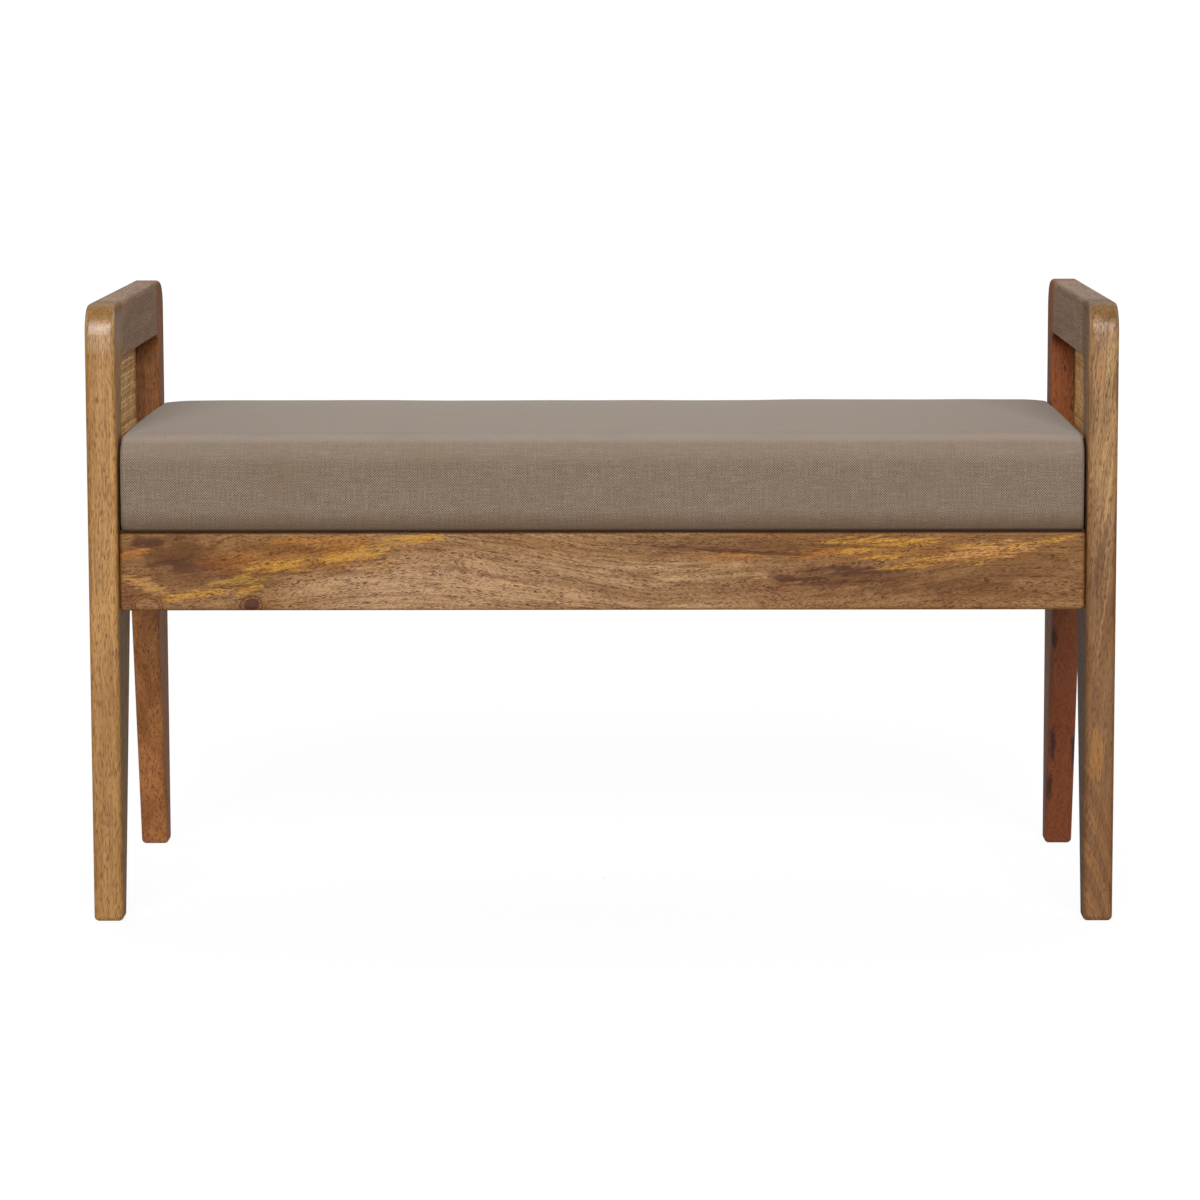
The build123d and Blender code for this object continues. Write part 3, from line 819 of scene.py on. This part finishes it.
def pad_ring(half_depth, low, high, top_radius, foot_radius, bulge, crown):
    """Y and Z of one cross-section, anticlockwise: a box with rounded corners, whose sides
    bulge and whose top rises by a parabola to its crown."""
    def arc(middle_y, middle_z, radius, start, stop):
        turn = np.radians(np.linspace(start, stop, 9))
        y, z = middle_y + radius * np.cos(turn), middle_z + radius * np.sin(turn)
        return np.stack([y, z], axis=-1)

    def run(start, stop, count):
        share = np.linspace(0, 1, count + 2)[1:-1, None]
        return np.array(start) * (1 - share) + np.array(stop) * share

    right, left = half_depth, -half_depth
    ring = np.vstack([
        run((right, low + foot_radius), (right, high - top_radius), 6),
        arc(right - top_radius, high - top_radius, top_radius, 0, 90),
        run((right - top_radius, high), (left + top_radius, high), 30),
        arc(left + top_radius, high - top_radius, top_radius, 90, 180),
        run((left, high - top_radius), (left, low + foot_radius), 6),
        arc(left + foot_radius, low + foot_radius, foot_radius, 180, 270),
        run((left + foot_radius, low), (right - foot_radius, low), 30),
        arc(right - foot_radius, low + foot_radius, foot_radius, 270, 360),
    ])
    y, z = ring[:, 0], ring[:, 1]
    level = np.clip((z - low) / (high - low), 0, 1)
    y = y + np.sign(y) * bulge * 4 * level * (1 - level) * (np.abs(y) > half_depth - top_radius)
    z = z + crown * (1 - (ring[:, 0] / half_depth) ** 2) * level
    return np.stack([y, z], axis=-1)


def pad_points(half_width, half_depth, low, high, end_radius, top_radius, foot_radius, bulge):
    """Rings along X. Towards each end the crown sinks, the last rings draw in by a quarter
    circle, and the end itself shrinks to a point."""
    turn = np.radians(np.linspace(0, 90, 8))
    inset = end_radius * (1 - np.sin(turn))
    place = half_width - end_radius * (1 - np.cos(turn))
    flat = np.linspace(-1, 1, 60)[1:-1] * place[-1]
    across = np.concatenate([-place, flat, place[::-1]])
    shrinks = np.concatenate([inset, 0 * flat, inset[::-1]])
    rings = []
    for x, shrink in zip(across, shrinks):
        end_share = max(0.0, 1 - (half_width - abs(x)) / crown_run)
        ring = pad_ring(
            half_depth - shrink, low + shrink * foot_radius / end_radius, high - shrink,
            max(top_radius - shrink, 0.001), foot_radius, bulge,
            pad_crown * (1 - 0.8 * end_share),
        )
        rings.append(np.column_stack([np.full(len(ring), x), ring]))
    hubs = [np.tile(ring.mean(axis=0), (len(ring), 1)) for ring in (rings[0], rings[-1])]
    return np.array([hubs[0], *rings, hubs[1]])


foam_low, foam_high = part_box("pad_foam")
foam_block = grid_mesh(
    "seat_foam",
    pad_points(
        half_width=foam_high.x - foam_inset,
        half_depth=foam_high.y - foam_inset - 0.002,
        low=foam_low.z,
        high=foam_high.z - foam_inset - pad_crown,
        end_radius=0.009, top_radius=0.024, foot_radius=0.002, bulge=0.001,
    ),
    close_columns=True,
)
edit(foam_block, turn_outwards)
foam = Finish("seat_foam")
foam_cells = foam.lumps(900, 900, 900)
foam_tone = foam.rise(foam_cells, 0.40, 0.62)
foam_colour = foam.blend(foam_tone, shown(206, 190, 142), shown(232, 220, 178))
foam.shade(
    Base_Color=foam.blend(foam.lumps(14, 14, 14) * 0.3, foam_colour, shown(214, 190, 130)),
    Roughness=0.92,
    Normal=foam.bump(foam_cells, 0.0003, 0.8),
)
foam_block.data.materials.append(foam.material)
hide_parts("pad_foam")
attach(foam_block, "root")


# Linen cover of the pad. Plain-weave linen with thick and thin threads, drawn tight round
# the foam and the board and turned under in a hem that is stapled to the board.
cover_start_drop = 0.0020  # the top swells back up by as much
cover_start_inset = 0.0006
most_swell = 0.0020
uneven_up, uneven_out = 0.0004, 0.0005  # waves in the top and in the sides
end_run, end_lift = 0.05, 0.0014  # how the top rises to meet the tight ends
cover_thickness = 0.001
hem_width = 0.040
hem_line = Vector((pad_high.x - hem_width, pad_high.y - hem_width))
roll_radius = 0.028
thread_pitch = 0.00125


def evaluated_mesh(piece):
    """Its mesh with the modifiers worked in."""
    finished = piece.evaluated_get(bpy.context.evaluated_depsgraph_get())
    return bpy.data.meshes.new_from_object(finished)


def apply_modifiers(piece):
    mesh = evaluated_mesh(piece)
    piece.modifiers.clear()
    piece.data = mesh


def swell(piece, first_points):
    """Lets air pressure fill the cover for twenty steps of cloth, held at its base and ends.

    Each point keeps the outward part of its move, up to the most swell, because the foam
    behind the cloth stops it from drawing in."""
    normals = listed(piece.data.vertex_normals, "vector", 3)
    x, _, z = first_points.T
    held = (z < pad_low.z + 0.002) | (np.abs(x) > pad_high.x - 0.002)
    piece.vertex_groups.new(name="held").add(np.where(held)[0].tolist(), 1.0, "REPLACE")
    cloth = piece.modifiers.new("linen", "CLOTH")
    settings = cloth.settings
    settings.vertex_group_mass = "held"
    settings.use_pressure = True
    settings.uniform_pressure_force = 6.0
    settings.effector_weights.gravity = 0.0
    settings.tension_stiffness = 25.0
    settings.compression_stiffness = 25.0
    settings.bending_stiffness = 2.0
    cloth.point_cache.frame_start, cloth.point_cache.frame_end = 1, 20
    for step in range(1, 21):
        bpy.context.scene.frame_set(step)
    move = listed(evaluated_mesh(piece).vertices, "co", 3) - first_points
    piece.modifiers.clear()
    bpy.context.scene.frame_set(1)
    outward = np.clip((move * normals).sum(axis=1, keepdims=True), 0.0, most_swell)
    return first_points + normals * outward


def merge_ends(shell):
    """Joins the points that lie on each other in the middle of both ends."""
    bmesh.ops.remove_doubles(shell, verts=shell.verts, dist=1e-5)


def open_base(shell):
    """Cuts out of the base what lies inside the hem."""
    middles = [(face, face.calc_center_median()) for face in shell.faces]
    inside = [
        face for face, middle in middles
        if middle.z < pad_low.z + 0.003
        and abs(middle.x) < hem_line.x and abs(middle.y) < hem_line.y
    ]
    bmesh.ops.delete(shell, geom=inside, context="FACES")


def hand_unevenness(points):
    """Long shallow waves of a hand-drawn cover: a sum of sines over X and Y."""
    x, y = points[:, 0], points[:, 1]
    waves = 0.5 * np.sin(23 * x + 9 * y + 0.6) + 0.3 * np.sin(41 * x - 17 * y + 2.1)
    return waves + 0.2 * np.sin(71 * x + 31 * y)


def wrap_uv(piece):
    """Threads in metres. On the wrapped faces they run along X and along the distance round
    the rolled edges; on the two ends along Y and Z."""
    mesh = piece.data
    corners = listed(mesh.loops, "vertex_index", kind=np.int32)
    normals = listed(mesh.polygons, "normal", 3)
    sizes = listed(mesh.polygons, "loop_total", kind=np.int32)
    on_end = np.repeat(np.abs(normals[:, 0]) > 0.72, sizes)
    on_base = np.repeat(normals[:, 2] < -0.72, sizes)
    x, y, z = listed(mesh.vertices, "co", 3)[corners].T
    roll_y, roll_z = pad_high.y - roll_radius, pad_high.z - pad_crown - roll_radius
    out, up = np.abs(y) - roll_y, z - roll_z
    turn = np.arctan2(np.maximum(out, 0), np.maximum(up, 1e-6))
    round_edge = np.where(up > 0, roll_radius * turn, roll_radius * math.pi / 2 - up)
    distance = np.where((out > 0) | (up < 0), roll_y + round_edge, np.abs(y)) * np.sign(y)
    u = np.where(on_end, y + 0.7, x)
    v = np.where(on_end, z, np.where(on_base, y, distance))
    mesh.uv_layers.new(name="weave").data.foreach_set("uv", np.stack([u, v], axis=-1).ravel())


cover = grid_mesh(
    "linen_cover",
    pad_points(
        half_width=pad_high.x - cover_start_inset,
        half_depth=pad_high.y - 0.0016,
        low=pad_low.z + 0.0003,
        high=pad_high.z - cover_start_drop - pad_crown,
        end_radius=0.0045, top_radius=roll_radius - 0.003, foot_radius=0.005, bulge=0.0014,
    ),
    close_columns=True,
)
edit(cover, merge_ends)
edit(cover, turn_outwards)
cover_points = listed(cover.data.vertices, "co", 3)
cover_points = swell(cover, cover_points)
high_share = np.clip((cover_points[:, 2] - pad_low.z) / (pad_high.z - pad_low.z), 0, 1)
cover_points[:, 2] += uneven_up * hand_unevenness(cover_points) * high_share
out_waves = hand_unevenness(cover_points[:, [0, 2, 1]])
cover_points[:, 1] += uneven_out * out_waves * (high_share > 0.15)
end_share = np.clip(1 - (pad_high.x - np.abs(cover_points[:, 0])) / end_run, 0, 1)
cover_points[:, 2] += end_lift * end_share * high_share
rim = np.array([pad_high.x - 0.0004, pad_high.y - 0.0002])
cover_points[:, :2] = np.clip(cover_points[:, :2], -rim, rim)
cover_points[:, 2] = np.clip(cover_points[:, 2], pad_low.z + 0.0002, pad_high.z + 0.001)
cover.data.vertices.foreach_set("co", cover_points.ravel())
cover.modifiers.new("finer", "SUBSURF").levels = 1
apply_modifiers(cover)
wrap_uv(cover)
edit(cover, open_base)
lining = cover.modifiers.new("cloth_thickness", "SOLIDIFY")
lining.thickness = cover_thickness
lining.offset = -1.0
apply_modifiers(cover)
cover.data.polygons.foreach_set("use_smooth", np.ones(len(cover.data.polygons), dtype=bool))

linen = Finish("linen")
thread_u, thread_v = linen.split(linen.node("ShaderNodeUVMap", {"uv_map": "weave"}))[:2]
level = linen.place()[2]


def thread_noise(per_u, per_v, seed, detail=1.0):
    """Noise with so many lumps to the metre along the threads and across them."""
    return linen.noise(thread_u * per_u, thread_v * per_v, seed, detail=detail)


threads = 1 / thread_pitch
weave = thread_u.wave(2 * thread_pitch) * thread_v.wave(2 * thread_pitch)
knot = thread_noise(threads, threads, 5.0)
warp_tone = thread_noise(threads, 40.0, 3.0)
weft_tone = thread_noise(40.0, threads, 9.0)
slub_up = linen.rise(thread_noise(625.0, 60.0, 17.0), 0.62, 0.78)
slub_level = linen.rise(thread_noise(50.0, 625.0, 23.0), 0.60, 0.76)
patch = thread_noise(14.0, 14.0, 31.0, detail=3.0)
speck = thread_noise(330.0, 330.0, 41.0, detail=0.0)
mottle = thread_noise(18.0, 18.0, 57.0, detail=2.0)
over_under = linen.rise(weave + (knot - 0.5) * 2.4, -0.8, 1.0)
# Painted light: the rolled front edge and the top lighter than the upright front.
painted_light_top_and_roll = linen.rise(level, pad_high.z - 0.038, pad_high.z - 0.014)
# Painted sheen over the top, lightest where the rolled edge turns into it; the mottles are uneven
# tones within it.
painted_sheen_top = linen.rise(level, pad_high.z - 0.016, pad_high.z - 0.009)
flat_top = linen.rise(level, pad_high.z - 0.009, pad_high.z - 0.003)
# Painted shade with a painted brown reflection of the wood, darker towards the foot of the cover.
foot = 1 - linen.rise(level, pad_low.z + 0.001, pad_low.z + 0.024)
# Painted shade in the gap between the cover's foot and the rail.
fold_shade = 1 - linen.rise(level, pad_low.z + 0.0015, pad_low.z + 0.0040)

linen_colour = linen.blend(over_under, lit(76, 62, 50), lit(168, 150, 132))
for share, tone in (
    (linen.rise(warp_tone, 0.35, 0.72) * 0.30, lit(156, 137, 123)),
    (linen.rise(weft_tone, 0.35, 0.72) * 0.34, lit(100, 84, 70)),
    (slub_up * 0.24 + slub_level * 0.28, lit(172, 154, 134)),
    (linen.rise(patch, 0.35, 0.70) * 0.25, lit(124, 104, 82)),
    (painted_light_top_and_roll * 0.26, lit(176, 158, 142)),
    (painted_sheen_top * 0.45, linen.blend(flat_top, lit(181, 168, 158), lit(173, 154, 136))),
    (painted_sheen_top * linen.rise(mottle, 0.52, 0.72) * 0.22, lit(146, 136, 108)),
    (painted_sheen_top * (1 - linen.rise(mottle, 0.30, 0.46)) * 0.18, lit(146, 124, 126)),
    (foot * 0.72, lit(88, 66, 44)),
    (fold_shade * 0.8, lit(48, 34, 28)),
    (linen.rise(speck, 0.86, 0.90) * 0.8, lit(66, 52, 44)),
):
    linen_colour = linen.blend(share, linen_colour, tone)
thread_relief = weave * 0.5 + knot + slub_up * 0.5 + slub_level * 0.5 + weft_tone * 0.4
linen.shade(
    Base_Color=linen_colour,
    Roughness=0.86,
    Specular_IOR_Level=0.25,
    Sheen_Weight=0.12,
    Sheen_Roughness=0.45,
    Normal=linen.bump(thread_relief, 0.00025, 0.6),
)
cover.data.materials.append(linen.material)
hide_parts("pad_cover")
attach(cover, "root")


# Dust cover. Thin black non-woven cloth under the pad, stapled round its edge and drawn up
# on the battens and corner blocks, so that it hangs a little in the bays between them.
dust_low, dust_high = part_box("pad_dust_cover")
dust_sag = 0.0022
dust_thickness = 0.0004


def dust_points():
    """A level grid that sinks by a parabola across each bay and along it, with low creases."""
    x = np.linspace(dust_low.x + 0.0002, dust_high.x - 0.0002, 241)[:, None]
    y = np.linspace(dust_low.y + 0.0002, dust_high.y - 0.0002, 97)[None, :]
    batten_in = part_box("right_seat_batten")[0].x
    batten_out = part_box("right_seat_batten")[1].x
    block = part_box("right_rear_corner_block")[0].x
    middle_bay = np.clip(1 - (x / batten_in) ** 2, 0, 1)
    outer_middle, outer_half = (batten_out + block) / 2, (block - batten_out) / 2
    outer_bay = np.clip(1 - ((np.abs(x) - outer_middle) / outer_half) ** 2, 0, 1)
    across = np.clip(1 - (y / (dust_high.y - 0.008)) ** 2, 0, 1)
    crease = 0.12 * np.sin(190 * x + 60 * y) + 0.10 * np.sin(140 * y - 75 * x + 1.0)
    sink = dust_sag * (middle_bay + outer_bay) * across * (1 + crease)
    z = (dust_low.z + dust_high.z) / 2 - sink
    return np.stack(np.broadcast_arrays(x, y, z), axis=-1)


dust_cover = grid_mesh("dust_cover", dust_points())
thickness = dust_cover.modifiers.new("cloth_thickness", "SOLIDIFY")
thickness.thickness = dust_thickness
thickness.offset = 0.0
apply_modifiers(dust_cover)
black_cloth = Finish("black_cloth")
x, y, z = black_cloth.place()
black_fluff = black_cloth.noise(x * 700.0, y * 700.0, z, detail=3.0)
black_dots = black_cloth.noise(x * 420.0, y * 420.0, z + 5.0, detail=0.0)
black_cloth.shade(
    Base_Color=black_cloth.blend(black_fluff, shown(20, 20, 21), shown(44, 44, 46)),
    Roughness=0.75 + black_dots * 0.2,
    Normal=black_cloth.bump(black_fluff + black_dots, 0.0002, 0.7),
)
dust_cover.data.materials.append(black_cloth.material)
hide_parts("pad_dust_cover")
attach(dust_cover, "root")


# Metal fittings. Zinc-plated socket-head bolts with washers, countersunk screws, staples
# and brads, and brass inserts in the legs.
zinc = Finish("zinc_steel")
zinc_bloom = zinc.lumps(260, 260, 260, detail=3.0)
zinc_scratch = zinc.lumps(2600, 240, 2600)
zinc.shade(
    Base_Color=zinc.blend(zinc_bloom, shown(176, 178, 180), shown(214, 215, 214)),
    Metallic=1.0,
    Roughness=0.28 + zinc_bloom * 0.18 + zinc_scratch * 0.1,
    Normal=zinc.bump(zinc_scratch, 0.00003, 0.5),
)
dress(
    zinc.material, "frame_bolts", "frame_washers", "pad_screws", "pad_staples",
    "left_bead_brads", "right_bead_brads",
)

brass = Finish("brass_insert")
brass_bloom = brass.lumps(300, 300, 300, detail=3.0)
brass_turning = brass.lumps(3000, 60, 60, detail=1.0)
brass.shade(
    Base_Color=brass.blend(brass_bloom, shown(196, 160, 84), shown(222, 190, 112)),
    Metallic=1.0,
    Roughness=0.30 + brass_bloom * 0.15,
    Normal=brass.bump(brass_turning, 0.00003, 0.5),
)
dress(brass.material, "frame_inserts")
